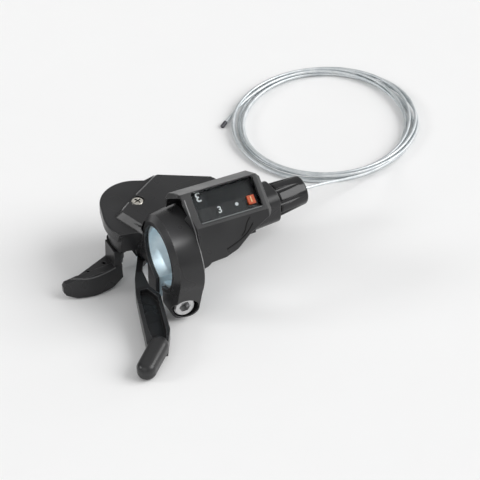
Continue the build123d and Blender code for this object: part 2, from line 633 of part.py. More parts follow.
def main_lever():
    """Long lever: hub and pawl lobe under the case, channelled arm under the bar, thumb paddle."""
    hub = Pos(AXLE_X, AXLE_Y) * Circle(HUB_R)
    hub += Pos(*DRIVE_PIN) * Circle(2 * POST_R)
    lobe = [about_axle(HUB_R - 1, DRIVE_ANGLE + 24), about_axle(HUB_R - 1, DRIVE_ANGLE - 24),
            about_axle(POST_ORBIT, DRIVE_ANGLE - 11), about_axle(POST_ORBIT, DRIVE_ANGLE + 11)]
    hub += Polygon(*lobe, align=None)
    lever = extrude(Plane.XY.offset(LEVER_BOTTOM_Z) * hub, LEVER_T, dir=(0, 0, 1))
    lever += slab(ARM_OUTLINE, -REACH, 0) & bar_slab(ARM_SIDE, -REACH, REACH)
    lever -= slab(ARM_WELL, -REACH, 0) & bar_slab(WELL_SIDE, -REACH, REACH)
    blade = extrude(SlotOverall(PADDLE_L, PADDLE_W), PADDLE_H / 2, both=True)
    blade = fillet(blade.edges(), PADDLE_W * 0.36)
    lever += Pos(*PADDLE_AT) * Rot(0, 0, PADDLE_TURN) * Rot(0, -PADDLE_DIP, 0) * blade
    lever -= upright(AXLE_X, AXLE_Y, SPINDLE_R + RUN_FIT, -REACH, REACH)
    return lever - upright(*DRIVE_PIN, POST_R, -REACH, REACH)


RELEASE_PLATE = [(-0.3, 2.4), (-0.6, -7.8), (-17.6, -7.8), (-18.4, -6.6), (-4.6, -0.2)]
RELEASE_PLATE_T = 1.8
RELEASE_LOW_Z = -17.4
RELEASE_WIRE_R = 0.45
WALL_TOP_Z = -14.8
WALL_LEAN = 1.8
WALL_FRONT = [(-0.9, -9.8), (-12.3, -11.4), (-24.7, -8.6)]
WALL_BACK = [(-24.5, -6.6), (-12.3, -8.4), (-0.9, -6.8)]
WALL_SIDE = [
    (-0.9, WALL_TOP_Z), (-0.9, -20.4), (-5.8, -22.7), (-13.3, -23.6), (-20.3, -23.3), (-23.9, -21.9),
    (-25.3, -19.8), (-23.7, -17.2), (-19.3, -15.8), (-11.3, WALL_TOP_Z),
]
WEB_X0 = -4.1
WEB_X1 = -1.3
WEB_Y0 = -8.4
WEB_TOP_Z = BAY_TOP_Z - PIECE_GAP
RELEASE_DIMPLES = [(-6.4, -4.0), (-13.9, -6.2)]
DIMPLE_R = 0.7
DIMPLE_FLOOR = 0.6


def release_lever():
    """Short lever, drawn from its pin: a web that hangs under the case, a plate and a finger wall."""
    plan = make_face([ThreePointArc(*WALL_FRONT).edge(), Line(WALL_FRONT[2], WALL_BACK[0]).edge(),
                      ThreePointArc(*WALL_BACK).edge(), Line(WALL_BACK[2], WALL_FRONT[0]).edge()])
    height = WALL_TOP_Z - FLOOR_Z
    wall = extrude(Plane.XY.offset(FLOOR_Z) * plan, math.hypot(height, WALL_LEAN), dir=(0, WALL_LEAN, height))
    wall &= front_slab(WALL_SIDE, -REACH, REACH)
    lever = wall + slab(RELEASE_PLATE, RELEASE_LOW_Z, RELEASE_LOW_Z + RELEASE_PLATE_T)
    lever += slab([(WEB_X0, WEB_Y0), (WEB_X1, WEB_Y0), (0, 0), (WEB_X0, 0)], RELEASE_LOW_Z, WEB_TOP_Z)
    lever += upright(0, 0, RELEASE_HUB_R, RELEASE_LOW_Z, WEB_TOP_Z)
    lever += upright(PEG_DX, PEG_DY, PEG_LUG_R, WEB_TOP_Z - PEG_SEAT, WEB_TOP_Z)
    for place in RELEASE_DIMPLES:
        lever -= upright(*place, DIMPLE_R, RELEASE_LOW_Z + DIMPLE_FLOOR, WALL_TOP_Z)
    lever -= upright(0, 0, PIN_R + RUN_FIT, -REACH, REACH)
    lever -= upright(PEG_DX, PEG_DY, PEG_R, WEB_TOP_Z - PEG_SEAT, REACH)
    return Pos(RELEASE_X, RELEASE_Y, 0) * lever


PEG_SEAT = 5.0


def release_peg():
    return upright(*PEG, PEG_R, WEB_TOP_Z - PEG_SEAT, PAWL_TOP_Z)


def release_spring():
    middle = RELEASE_LOW_Z - PIECE_GAP - RELEASE_WIRE_R
    return hairpin(RELEASE_X, RELEASE_Y, middle, PIN_R + 0.8, RELEASE_WIRE_R, [(150, 3.0), (-120, 2.2)])


def drive_pawl_spring():
    return hairpin(*DRIVE_PIN, PAWL_TOP_Z + 0.7, POST_R + 0.5, 0.3, [(190, 4.0), (-80, 3.0)])


def hold_pawl_spring():
    return hairpin(*HOLD_PIN, PAWL_TOP_Z + 0.7, PIN_R + 0.5, 0.3, [(45, 3.5), (215, 2.4)])


# Indicator
ROOF_BACK = (8.2, 21.8)
ROOF_UP = 6.6
ROOF_DOWN = 7.5
FRONT_FOOT = (-17.2, 4.0)
BACK_FOOT_Y = 14.0
HOUSE_WALL = 1.5
HOOD_X0 = 1.8
HOOD_RISE_X = 2.0
HOOD_RISE_Z = 3.4
TUNNEL_DEEP = 2.0
END_BEVEL = 1.6
SKIRT_CUT = [(4, 1.8), (9, 5.0), (15, 5.4), (20, 7.0), (26, 11.2), (38, 17.0), (38, -10), (4, -10)]
LENS_CORNER = 1.0


def on_window(up, out):
    """Place across the bar of a point on the window, up its slope and out of its face."""
    return (WINDOW_Y + up * TILT_COS - out * TILT_SIN, WINDOW_Z + up * TILT_SIN + out * TILT_COS)


def window_block(length, width, corner, low, high):
    face = WINDOW_PLANE * Pos(0, 0, low) * RectangleRounded(length, width, corner)
    return extrude(face, high - low)


LENS_LOW = LENS_PROUD - LENS_T
POINTER_HIGH = LENS_LOW - PIECE_GAP
POINTER_LOW = POINTER_HIGH - POINTER_T
STRIP_HIGH = POINTER_LOW - PIECE_GAP
DIAL_HIGH = STRIP_HIGH - STRIP_H
DIAL_LOW = DIAL_HIGH - DIAL_T
STRIP_UP = -(WINDOW_W - STRIP_W) / 2
POINTER_START = WINDOW_L / 2 - POINTER_INSET


def indicator_housing():
    """Shell over the bar with the window pocket, a hood over the ring on its left and a skirt in front."""
    top = on_window(ROOF_UP, 0)
    front = on_window(-ROOF_DOWN, 0)
    shell = bar_slab([ROOF_BACK, top, front, FRONT_FOOT, (-15.0, -1.5), (0, 0), (12.2, COVER_TOP_Z),
                      (BACK_FOOT_Y, COVER_TOP_Z)], HOUSE_X0, HOUSE_X1)
    end_edges = shell.faces().sort_by(Axis.X)[-1].edges()
    shell = chamfer(end_edges.filter_by(lambda e: e.center().Z > COVER_TOP_Z + 1), END_BEVEL)
    shell -= bar_rod(CLEAR_R, 0, REACH)
    shell -= front_slab(SKIRT_CUT, -REACH, -1)
    shell -= window_block(WINDOW_L + 2 * SEAT_FIT, WINDOW_W + 2 * SEAT_FIT, LENS_CORNER, DIAL_LOW, HOUSE_WALL)
    back_y = ROOF_BACK[0]
    hood_low = RING_LEFT_R - 4
    hood = bar_slab([ROOF_BACK, top, front, (front[0], hood_low), (back_y, hood_low)], HOOD_X0, HOUSE_X0)
    hood -= slab([(HOOD_X0, back_y - 2), (HOUSE_X0, front[0]), (HOOD_X0, front[0])], 0, REACH)
    rise_z = ROOF_BACK[1] - HOOD_RISE_Z / 2
    hood -= front_slab([(HOOD_X0, rise_z), (HOOD_X0 + HOOD_RISE_X, rise_z + HOOD_RISE_Z),
                        (HOOD_X0 + HOOD_RISE_X, REACH), (HOOD_X0, REACH)], -REACH, REACH)
    hood -= bar_turned(ring_outline(RING_SEAM)) + bar_rod(RING_IN_R, -REACH, REACH)
    shell += hood
    tunnel = bar_slab([(back_y - 0.4, 16.0), (back_y - 1.2, ROOF_BACK[1] - HOUSE_WALL),
                       (top[0] - 0.3, top[1] - HOUSE_WALL), (-5.5, 20.5), (-3.0, 16.0)],
                      HOOD_X0 - 1, HOUSE_X0 + TUNNEL_DEEP)
    return shell - tunnel


def indicator_lens():
    return window_block(WINDOW_L, WINDOW_W, LENS_CORNER, LENS_LOW, LENS_PROUD)


def indicator_dial():
    dial = window_block(WINDOW_L, WINDOW_W, LENS_CORNER, DIAL_LOW, DIAL_HIGH)
    middle = (DIAL_HIGH + STRIP_HIGH) / 2
    return dial + WINDOW_PLANE * Pos(0, STRIP_UP, middle) * Box(WINDOW_L - 1.0, STRIP_W, STRIP_H)


def indicator_pointer():
    middle = (POINTER_LOW + POINTER_HIGH) / 2
    return WINDOW_PLANE * Pos(POINTER_START, POINTER_UP, middle) * Box(POINTER_L, POINTER_W, POINTER_T)


# Cable end of the part
KNOB_START = BOSS_END + KNOB_GAP
KNOB_END = KNOB_START + KNOB_L


def on_cable(t):
    return CABLE_PLANE * Pos(0, 0, t)


def barrel_adjuster():
    """Fluted knob with a threaded stem, a cable hole and a seat for the outer cable."""
    knob = on_cable((KNOB_START + KNOB_END) / 2) * Cone(KNOB_R_IN, KNOB_R_OUT, KNOB_L)
    knob = fillet(knob.edges().filter_by(GeomType.CIRCLE), 1.0)
    for i in range(KNOB_FLUTES):
        turn = Rot(0, 0, 360 * (i + 0.5) / KNOB_FLUTES)
        flute = turn * Pos(KNOB_R_IN + 0.5, 0, 0) * Cylinder(FLUTE_R, KNOB_L + 2)
        knob -= on_cable((KNOB_START + KNOB_END) / 2) * flute
    knob += on_cable(KNOB_START - STEM_L / 2 + 0.5) * Cylinder(STEM_R, STEM_L)
    knob -= on_cable(KNOB_END) * Cylinder(HOUSING_SEAT_R, 2 * HOUSING_SEAT_L)
    return knob - on_cable(BOSS_END) * Cylinder(CABLE_R + 0.4, REACH)


CABLE_INSIDE_START = 1.0
LEAD_POINTS = [
    tuple((CABLE_PLANE * Pos(0, 0, KNOB_END)).position),
    (74.0, 23.4, -8.6), (86.5, 27.2, -13.4), (101.0, 33.6, -19.4), (118.5, 43.7, -22.0),
]
TAIL_POINTS = [(81.5, 102.0, -22.2), (73.5, 97.6, -22.9), (65.5, 91.2, FLOOR_Z + CABLE_R + 0.3)]
TIP_L = 3.0
TIP_R = 0.8


def bend_radii(points):
    """The largest arc that each corner of a route leaves room for."""
    radii = []
    for a, b, c in zip(points, points[1:], points[2:]):
        before = Vector(*b) - Vector(*a)
        after = Vector(*c) - Vector(*b)
        half = math.radians(before.get_angle(after)) / 2
        radii.append(0.45 * min(before.length, after.length) / math.tan(half))
    return radii


def cable_tube(points):
    radii = bend_radii(points)
    print("cable bend radii", [round(r, 1) for r in radii])
    path = FilletPolyline(*points, radius=radii)
    start = Plane(origin=path @ 0, z_dir=path % 0)
    tube = sweep(start * Circle(CABLE_R), path=path)
    section = math.pi * CABLE_R**2
    print("cable volume", round(tube.volume, 2), "section times length", round(section * path.length, 2))
    return tube


def cable_inside():
    return on_cable((CABLE_INSIDE_START + KNOB_END) / 2) * Cylinder(CABLE_R, KNOB_END - CABLE_INSIDE_START)


def cable_lead():
    return cable_tube(LEAD_POINTS)


def cable_tail():
    return cable_tube(TAIL_POINTS)


def cable_coil():
    """The outer shape of the loose turns that lie on the floor."""
    section = Pos(COIL_R, FLOOR_Z + COIL_H / 2) * RectangleRounded(COIL_W, COIL_H, 1.2)
    return Pos(COIL_X, COIL_Y, 0) * revolve(Plane.XZ * section, Axis.Z)


def cable_tip():
    end = Vector(*TAIL_POINTS[-1])
    direction = (end - Vector(*TAIL_POINTS[-2])).normalized()
    return Plane(origin=end + direction * TIP_L / 2, z_dir=direction) * Cylinder(TIP_R, TIP_L)


save("clamp_body", clamp_body())
save("clamp_band", clamp_band())
save("clamp_bolt", clamp_bolt())
save("clamp_nut", clamp_nut())
save("top_cover", top_cover())
save("cover_screw", cover_screw())
save("base_plate", base_plate())
save("base_screws", base_screws())
save("spindle", spindle())
save("spindle_washer", spindle_washer())
save("spindle_nut", spindle_nut())
save("spool_spring", spool_spring())
save("lever_spring", lever_spring())
save("release_pin", release_pin())
save("hold_pawl_pin", hold_pawl_pin())
save("hold_pawl", hold_pawl())
save("hold_pawl_spring", hold_pawl_spring())
save("drive_pawl", drive_pawl())
save("drive_pawl_pin", drive_pawl_pin())
save("drive_pawl_spring", drive_pawl_spring())
save("cable_spool", cable_spool())
save("cable_nipple", cable_nipple())
save("main_lever", main_lever())
save("release_lever", release_lever())
save("release_peg", release_peg())
save("release_spring", release_spring())
save("indicator_housing", indicator_housing())
save("indicator_lens", indicator_lens())
save("indicator_dial", indicator_dial())
save("indicator_pointer", indicator_pointer())
save("barrel_adjuster", barrel_adjuster())
save("cable_inside", cable_inside())
save("cable_lead", cable_lead())
save("cable_tail", cable_tail())
save("cable_coil", cable_coil())
save("cable_tip", cable_tip())
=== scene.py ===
import json
import math

import bpy
from mathutils import Matrix, Vector


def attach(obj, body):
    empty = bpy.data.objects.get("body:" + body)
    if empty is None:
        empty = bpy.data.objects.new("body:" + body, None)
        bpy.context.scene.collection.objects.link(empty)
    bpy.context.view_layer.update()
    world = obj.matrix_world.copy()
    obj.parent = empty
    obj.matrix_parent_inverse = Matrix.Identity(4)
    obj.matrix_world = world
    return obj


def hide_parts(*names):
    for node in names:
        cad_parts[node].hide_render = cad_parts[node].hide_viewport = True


MM = 0.001

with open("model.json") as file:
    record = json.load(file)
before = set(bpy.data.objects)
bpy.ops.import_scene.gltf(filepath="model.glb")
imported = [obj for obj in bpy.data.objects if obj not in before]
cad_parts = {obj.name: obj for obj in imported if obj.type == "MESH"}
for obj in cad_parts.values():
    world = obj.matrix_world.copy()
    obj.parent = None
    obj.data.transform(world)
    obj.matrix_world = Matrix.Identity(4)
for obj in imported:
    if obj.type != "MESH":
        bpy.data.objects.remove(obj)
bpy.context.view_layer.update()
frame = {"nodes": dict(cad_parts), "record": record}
nodes = frame["nodes"]
scene = bpy.context.scene

# Camera
VIEW_TURN = math.radians(-25.5)
VIEW_LIFT = math.radians(39.0)
VIEW_DISTANCE = 1500.0
VIEW_RIGHT = 25.56
VIEW_UP = 5.07
LENS = 303.75
SENSOR = 36.0
CLIP_NEAR = 50.0
CLIP_FAR = 50000.0

# Surface that the part lies on
FLOOR_Z = -24.0
FLOOR_REACH = 8000.0
FLOOR_DARK = (0.892, 0.892, 0.892)
FLOOR_PALE = (0.898, 0.898, 0.898)
FLOOR_TINT_SCALE = 40.0

# Light: the room's glow grows toward one direction, and each sun has a width in degrees
ROOM_BRIGHT = Vector((0.80, -0.15, 0.58)).normalized()
ROOM_LOW = 0.12
ROOM_HIGH = 0.64
ROOM_LOW_AT = -0.5
ROOM_HIGH_AT = 0.95
SUNS = {
    "key": dict(toward=(0.68, -0.40, 0.61), softness=44.0, strength=1.95),
    "side": dict(toward=(-0.83, 0.29, 0.48), softness=18.0, strength=0.62),
    "rim": dict(toward=(0.92, 0.34, 0.16), softness=36.0, strength=0.30),
    "fill": dict(toward=(-0.70, -0.45, 0.55), softness=50.0, strength=0.60),
}
BORE = Vector((2.0, 7.2, -8.4))
BORE_LAMP = Vector((-100.0, -215.0, 375.0))
BORE_LAMP_R = 6.0
BORE_SPREAD = 1.7
BORE_WATTS = 13.0

# Inner cable, along the same route as the solids
CABLE_D = 1.2
LEAD = [(64.45, 21.71, -7.0), (74.0, 23.4, -8.6), (86.5, 27.2, -13.4), (101.0, 33.6, -19.4)]
TAIL = [(77.0, 99.3, -22.4), (71.3, 95.5, -23.0), (65.5, 91.2, -23.1)]
COIL_X = 100.0
COIL_Y = 72.5
COIL_R = 34.65
COIL_LIFT = 1.95
COIL_Z = FLOOR_Z + COIL_LIFT
START_ANGLE = -60.0
END_ANGLE = 118.0
STRANDS = 6
BUNDLE_R = 1.35
BUNDLE_START = -40.0
FAN = 1.35
FAN_TWICE = 0.45
FAN_TWICE_FROM = 0.6
FAN_THRICE = 0.25
OVAL = 0.7
OVAL_FROM = -1.0
POINTS_PER_TURN = 24

# Gear window; the tops are levels below its face
WINDOW = Vector((20.2, -5.65, 22.55))
WINDOW_TILT = math.radians(36.6)
WINDOW_WIDTH = 12.4
STRIP_TOP = -2.6
DIAL_TOP = -3.4
POINTER_TOP = -1.5
STEP_MARGIN = 0.2
DIAL_COLOUR = (0.005, 0.006, 0.007)
STRIP_COLOUR = (0.024, 0.025, 0.025)
LENS_COLOUR = (0.94, 0.96, 0.97)
# Painted highlight on the lens's lower edge: a grey strip of this colour, width and fade
LENS_EDGE_HIGHLIGHT = (0.16, 0.17, 0.17)
LENS_EDGE_HIGHLIGHT_WIDTH = 0.30
LENS_EDGE_HIGHLIGHT_FADE = 0.1

# Print: its thickness, how far it swells, and a capital's share of the size of the type
INK = 0.05
INK_SWELL = 0.06
CAPITAL = 0.7

# Noise and edges in the finishes; scales count features per metre
EVEN = (1, 1, 1)
NOISE_LOW = 0.3
NOISE_HIGH = 0.7
NOISE_ROUGHNESS = 0.6
SHADER_SAMPLES = 6
EDGE_ROUND = 0.75
EDGE_FLAT = 0.99
CORNER_DEEP = 0.25
CORNER_OPEN = 0.8
MOTTLE_SCALE = 90.0
GLOSS_SCALE = 140.0
GLOSS_SWING = 0.04
# Patches of paler edge colour on plastics: partly wear, partly a painted edge highlight
WEAR_AND_HIGHLIGHT_SCALE = 700.0
WEAR_AND_HIGHLIGHT_LOW = 0.35
WEAR_AND_HIGHLIGHT_HIGH = 0.65
WEAR_AND_HIGHLIGHT_LEAST = 0.25
WEAR_AND_HIGHLIGHT_MOST = 0.8
PLASTIC_GRAIN = 0.08
METAL_TINT_SCALE = 160.0
METAL_GLOSS_SCALE = 500.0
METAL_GRAIN = 0.3
# Painted shade in the holes and corners of metal parts: how far it reaches and how dark it goes
METAL_REACH = 1.5
METAL_HOLLOW_SHADE = 0.12
LENS_GLOSS_SCALE = 220.0
LENS_GLOSS_LOW = 0.4
LENS_GLOSS_HIGH = 0.8
LENS_ROUGH = 0.02
DIAL_GLOSS_SCALE = 300.0
DIAL_SMOOTH = 0.3
DIAL_ROUGH = 0.36
WIRE_LAY = math.radians(35)
WIRE_SCALE = 900.0
WIRE_WANDER = 0.4
WIRE_RELIEF = 0.05
WIRE_GRAIN = 0.35
WIRE_TINT_SCALE = 240.0
WIRE_DARK = (0.60, 0.64, 0.66)
WIRE_LIGHT = (0.78, 0.81, 0.82)
WIRE_SMOOTH = 0.38
WIRE_ROUGH = 0.52


def add(tree, kind, inputs=None, **settings):
    """A new shader node with its settings and constant inputs."""
    made = tree.nodes.new(kind)
    for key, value in settings.items():
        setattr(made, key, value)
    for key, value in (inputs or {}).items():
        made.inputs[key].default_value = value
    return made


def new_material(name, **values):
    """A material with constant values on its surface shader."""
    material = bpy.data.materials.new(name)
    material.use_nodes = True
    tree = material.node_tree
    surface = tree.nodes["Principled BSDF"]
    for key, value in values.items():
        surface.inputs[key.replace("_", " ")].default_value = value
    return material, tree, surface


def noise(tree, scale, detail=3.0, stretch=EVEN):
    """Noise in the part's own frame."""
    place = add(tree, "ShaderNodeTexCoord")
    fit = add(tree, "ShaderNodeMapping", {"Scale": stretch})
    made = add(tree, "ShaderNodeTexNoise", {"Scale": scale, "Detail": detail, "Roughness": NOISE_ROUGHNESS})
    tree.links.new(place.outputs["Object"], fit.inputs["Vector"])
    tree.links.new(fit.outputs["Vector"], made.inputs["Vector"])
    return made.outputs["Fac"]


def spread(tree, value, low, high, out_low, out_high):
    """The value, carried over from low..high to out_low..out_high."""
    made = add(tree, "ShaderNodeMapRange",
               {"From Min": low, "From Max": high, "To Min": out_low, "To Max": out_high})
    tree.links.new(value, made.inputs["Value"])
    return made.outputs["Result"]


def vary(tree, scale, low, high, detail=3.0):
    """A value that drifts between low and high over the surface."""
    return spread(tree, noise(tree, scale, detail), NOISE_LOW, NOISE_HIGH, low, high)


def along(tree, direction):
    """How far a point of the part lies along a direction, in metres."""
    place = add(tree, "ShaderNodeTexCoord")
    dot = add(tree, "ShaderNodeVectorMath", operation="DOT_PRODUCT")
    dot.inputs[1].default_value = direction
    tree.links.new(place.outputs["Object"], dot.inputs[0])
    return dot.outputs["Value"]


def between(tree, mask, first, second):
    """A colour that goes from first to second with the mask; either may be a socket."""
    made = add(tree, "ShaderNodeMix", data_type="RGBA")
    for socket, colour in (("A", first), ("B", second)):
        target = next(i for i in made.inputs if i.name == socket and i.type == "RGBA")
        if isinstance(colour, tuple):
            target.default_value = (*colour, 1.0)
        else:
            tree.links.new(colour, target)
    tree.links.new(mask, made.inputs["Factor"])
    return next(o for o in made.outputs if o.type == "RGBA")


def rounded_edges(tree, radius):
    """Normals that run round the edges, and a mask of where they do."""
    edge = add(tree, "ShaderNodeBevel", {"Radius": radius * MM}, samples=SHADER_SAMPLES)
    flat = add(tree, "ShaderNodeNewGeometry")
    dot = add(tree, "ShaderNodeVectorMath", operation="DOT_PRODUCT")
    tree.links.new(edge.outputs["Normal"], dot.inputs[0])
    tree.links.new(flat.outputs["True Normal"], dot.inputs[1])
    return edge.outputs["Normal"], spread(tree, dot.outputs["Value"], EDGE_ROUND, EDGE_FLAT, 1.0, 0.0)


def paint_shade_in_hollows(tree, colour, reach, hollow_shade):
    """The colour, with painted shade that darkens holes and corners narrower than the reach."""
    shade = add(tree, "ShaderNodeAmbientOcclusion", {"Distance": reach * MM}, samples=SHADER_SAMPLES)
    return between(tree, spread(tree, shade.outputs["AO"], CORNER_DEEP, CORNER_OPEN, 1.0, 0.0), colour, hollow_shade)


def bump(tree, surface, height, depth, strength, normal):
    """Fine relief on the surface, over the normal."""
    made = add(tree, "ShaderNodeBump", {"Strength": strength, "Distance": depth * MM})
    tree.links.new(height, made.inputs["Height"])
    tree.links.new(normal, made.inputs["Normal"])
    tree.links.new(made.outputs["Normal"], surface.inputs["Normal"])


def plastic(name, dark, light, edge_wear_and_highlight, rough, grain, depth, edge, hollow_shade=0.4, reach=2.0):
    """Moulded plastic: fine grain, soft mottling, paler edges that are partly wear and partly a painted edge
    highlight, and painted shade in holes and corners.
    """
    material, tree, surface = new_material(name, Specular_IOR_Level=0.4)
    normal, edges = rounded_edges(tree, edge)
    mottled = between(tree, vary(tree, MOTTLE_SCALE, 0.0, 1.0, detail=0.0), dark, light)
    # Paler edges in patches: partly edge wear, partly a painted edge highlight
    edge_wear_and_highlight_patches = spread(tree, noise(tree, WEAR_AND_HIGHLIGHT_SCALE, detail=2.0), WEAR_AND_HIGHLIGHT_LOW, WEAR_AND_HIGHLIGHT_HIGH, WEAR_AND_HIGHLIGHT_LEAST, WEAR_AND_HIGHLIGHT_MOST)
    mask = add(tree, "ShaderNodeMath", operation="MULTIPLY")
    tree.links.new(edges, mask.inputs[0])
    tree.links.new(edge_wear_and_highlight_patches, mask.inputs[1])
    clean = between(tree, mask.outputs["Value"], mottled, edge_wear_and_highlight)
    # Painted shade: holes and corners narrower than the reach darken toward a scaled dark colour
    colour = paint_shade_in_hollows(tree, clean, reach, tuple(c * hollow_shade for c in dark))
    tree.links.new(colour, surface.inputs["Base Color"])
    gloss = vary(tree, GLOSS_SCALE, rough - GLOSS_SWING, rough + GLOSS_SWING, detail=0.0)
    tree.links.new(gloss, surface.inputs["Roughness"])
    bump(tree, surface, noise(tree, grain, detail=0.0), depth, PLASTIC_GRAIN, normal)
    return material


def metal(name, dark, light, rough, grain, depth, edge, stretch=EVEN):
    """Plated or ground steel, its fine finish drawn out by the stretch, with painted shade in its holes and
    corners.
    """
    material, tree, surface = new_material(name, Metallic=1.0)
    normal, _ = rounded_edges(tree, edge)
    clean = between(tree, vary(tree, METAL_TINT_SCALE, 0.0, 1.0), dark, light)
    # Painted shade in holes and corners
    colour = paint_shade_in_hollows(tree, clean, METAL_REACH, tuple(c * METAL_HOLLOW_SHADE for c in dark))
    tree.links.new(colour, surface.inputs["Base Color"])
    gloss = vary(tree, METAL_GLOSS_SCALE, rough - GLOSS_SWING, rough + 2 * GLOSS_SWING)
    tree.links.new(gloss, surface.inputs["Roughness"])
    bump(tree, surface, noise(tree, grain, detail=2.0, stretch=stretch), depth, METAL_GRAIN, normal)
    return material


def clear_plastic():
    """Clear window with a painted highlight along its lower edge: a grey strip that lets no light through."""
    material, tree, surface = new_material("clear_lens", IOR=1.12)
    height = along(tree, (0, math.cos(WINDOW_TILT), math.sin(WINDOW_TILT)))
    level = WINDOW.y * math.cos(WINDOW_TILT) + WINDOW.z * math.sin(WINDOW_TILT) - WINDOW_WIDTH / 2
    highlight_edge = (level + LENS_EDGE_HIGHLIGHT_WIDTH) * MM
    clear = spread(tree, height, highlight_edge, highlight_edge + LENS_EDGE_HIGHLIGHT_FADE * MM, 0.0, 1.0)
    tree.links.new(clear, surface.inputs["Transmission Weight"])
    colour = between(tree, clear, LENS_EDGE_HIGHLIGHT, LENS_COLOUR)
    tree.links.new(colour, surface.inputs["Base Color"])
    gloss = spread(tree, noise(tree, LENS_GLOSS_SCALE), LENS_GLOSS_LOW, LENS_GLOSS_HIGH, 0.0, LENS_ROUGH)
    tree.links.new(gloss, surface.inputs["Roughness"])
    return material


def dial_finish():
    """Dark dial whose raised strip is a paler grey."""
    material, tree, surface = new_material("dial_plastic", Specular_IOR_Level=0.25)
    height = along(tree, (0, -math.sin(WINDOW_TILT), math.cos(WINDOW_TILT)))
    level = WINDOW.y * -math.sin(WINDOW_TILT) + WINDOW.z * math.cos(WINDOW_TILT)
    low = (level + DIAL_TOP + STEP_MARGIN) * MM
    high = (level + STRIP_TOP - STEP_MARGIN) * MM
    raised = spread(tree, height, low, high, 0.0, 1.0)
    colour = between(tree, raised, DIAL_COLOUR, STRIP_COLOUR)
    tree.links.new(colour, surface.inputs["Base Color"])
    tree.links.new(vary(tree, DIAL_GLOSS_SCALE, DIAL_SMOOTH, DIAL_ROUGH), surface.inputs["Roughness"])
    return material


def wire_finish():
    """Stranded steel cable: fine ridges wound along it."""
    material, tree, surface = new_material("cable_steel", Metallic=0.75)
    place = add(tree, "ShaderNodeTexCoord")
    fit = add(tree, "ShaderNodeMapping", {"Rotation": (0, 0, WIRE_LAY)})
    wave = add(tree, "ShaderNodeTexWave", {"Scale": WIRE_SCALE, "Distortion": WIRE_WANDER})
    tree.links.new(place.outputs["Object"], fit.inputs["Vector"])
    tree.links.new(fit.outputs["Vector"], wave.inputs["Vector"])
    normal = add(tree, "ShaderNodeNewGeometry").outputs["Normal"]
    bump(tree, surface, wave.outputs["Fac"], WIRE_RELIEF, WIRE_GRAIN, normal)
    colour = between(tree, vary(tree, WIRE_TINT_SCALE, 0.0, 1.0), WIRE_DARK, WIRE_LIGHT)
    tree.links.new(colour, surface.inputs["Base Color"])
    tree.links.new(vary(tree, WIRE_SCALE, WIRE_SMOOTH, WIRE_ROUGH), surface.inputs["Roughness"])
    return material


# Plastics: each paler edge colour is partly wear and partly a painted edge highlight; the dark colour is
# scaled for the painted shade in holes and corners within the reach
PLASTICS = {
    "black_plastic": dict(dark=(0.020, 0.020, 0.021), light=(0.027, 0.027, 0.028), edge_wear_and_highlight=(0.17, 0.17, 0.173),
                          rough=0.30, grain=700.0, depth=0.03, edge=0.45),
    "lever_plastic": dict(dark=(0.021, 0.021, 0.022), light=(0.029, 0.029, 0.030), edge_wear_and_highlight=(0.13, 0.13, 0.132),
                          rough=0.30, grain=800.0, depth=0.02, edge=0.5, hollow_shade=0.1, reach=6.0),
    "knob_plastic": dict(dark=(0.010, 0.010, 0.011), light=(0.014, 0.014, 0.015), edge_wear_and_highlight=(0.10, 0.10, 0.102),
                         rough=0.14, grain=600.0, depth=0.01, edge=0.3),
    "spool_plastic": dict(dark=(0.10, 0.105, 0.11), light=(0.14, 0.145, 0.15), edge_wear_and_highlight=(0.25, 0.25, 0.26),
                          rough=0.5, grain=2600.0, depth=0.02, edge=0.2),
    "pointer_plastic": dict(dark=(0.62, 0.085, 0.018), light=(0.72, 0.11, 0.025), edge_wear_and_highlight=(0.85, 0.30, 0.12),
                            rough=0.35, grain=2400.0, depth=0.01, edge=0.15, hollow_shade=1.0),
    "seam_black": dict(dark=(0.003, 0.003, 0.003), light=(0.005, 0.005, 0.005), edge_wear_and_highlight=(0.006, 0.006, 0.006),
                       rough=0.5, grain=600.0, depth=0.01, edge=0.1),
    # Two colours for beads with a painted highlight: a paler grey for the release lever's ridge, a pale grey
    # for the ring's and top cover's edges
    "painted_highlight_dark": dict(dark=(0.10, 0.10, 0.102), light=(0.14, 0.14, 0.142), edge_wear_and_highlight=(0.2, 0.2, 0.203),
                         rough=0.35, grain=600.0, depth=0.01, edge=0.1, hollow_shade=1.0),
    "painted_highlight_pale": dict(dark=(0.20, 0.20, 0.203), light=(0.25, 0.25, 0.253), edge_wear_and_highlight=(0.3, 0.3, 0.303),
                        rough=0.35, grain=600.0, depth=0.01, edge=0.1, hollow_shade=1.0),
    "print_white": dict(dark=(0.74, 0.76, 0.76), light=(0.82, 0.84, 0.84), edge_wear_and_highlight=(0.85, 0.86, 0.86),
                        rough=0.5, grain=3000.0, depth=0.005, edge=0.02, hollow_shade=1.0),
    "print_yellow": dict(dark=(0.80, 0.62, 0.30), light=(0.86, 0.70, 0.40), edge_wear_and_highlight=(0.9, 0.8, 0.5),
                         rough=0.5, grain=3000.0, depth=0.005, edge=0.02, hollow_shade=1.0),
}
